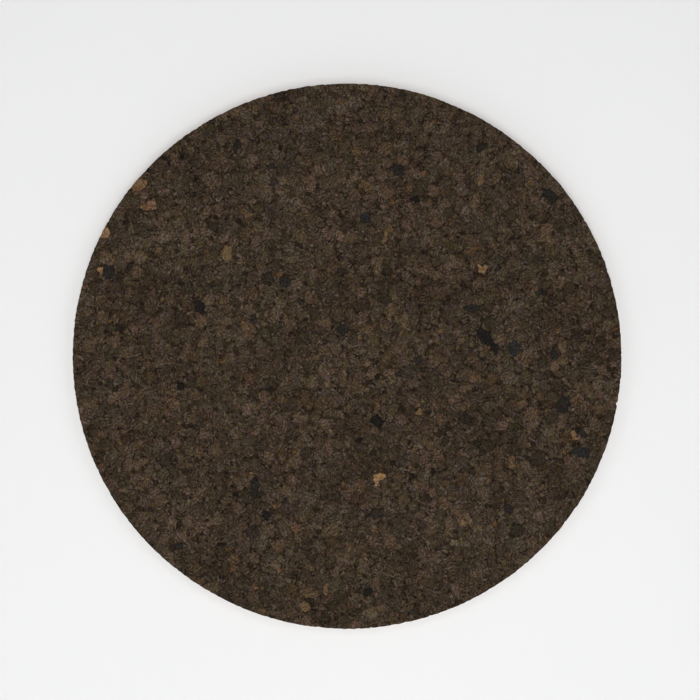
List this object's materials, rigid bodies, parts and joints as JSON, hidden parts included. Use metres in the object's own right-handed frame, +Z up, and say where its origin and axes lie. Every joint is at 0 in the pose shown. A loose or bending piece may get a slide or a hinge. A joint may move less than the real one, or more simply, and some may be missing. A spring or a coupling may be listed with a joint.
{
  "type": "cork bulletin board",
  "caption": "Round frameless bulletin board: a dark agglomerated cork disc on a fibreboard disc, hung by two keyhole plates and spaced off the wall by bumpers.",
  "frame": {"origin": "the board's centre, projected onto the wall plane that the four bumpers rest on", "axes": "+Z up, +X to the right of a person facing the board, +Y into the wall, so the cork faces -Y"},
  "size_m": [0.3999, 0.0142, 0.4],
  "materials": {
    "dark_cork": "matte",
    "contact_adhesive": "satin",
    "fibreboard": "matte",
    "zinc_plated_steel": "satin",
    "screw_steel": "satin",
    "bumper_rubber": "matte"
  },
  "bodies": {
    "root": {"cork_face": "dark_cork", "glue_film": "contact_adhesive", "backing_board": "fibreboard", "keyhole_plate_left": "zinc_plated_steel", "hanger_screw_left_upper": "screw_steel", "hanger_screw_left_lower": "screw_steel", "keyhole_plate_right": "zinc_plated_steel", "hanger_screw_right_upper": "screw_steel", "hanger_screw_right_lower": "screw_steel", "wall_bumper_upper_right": "bumper_rubber", "wall_bumper_upper_left": "bumper_rubber", "wall_bumper_lower_left": "bumper_rubber", "wall_bumper_lower_right": "bumper_rubber"}
  },
  "joints": []
}
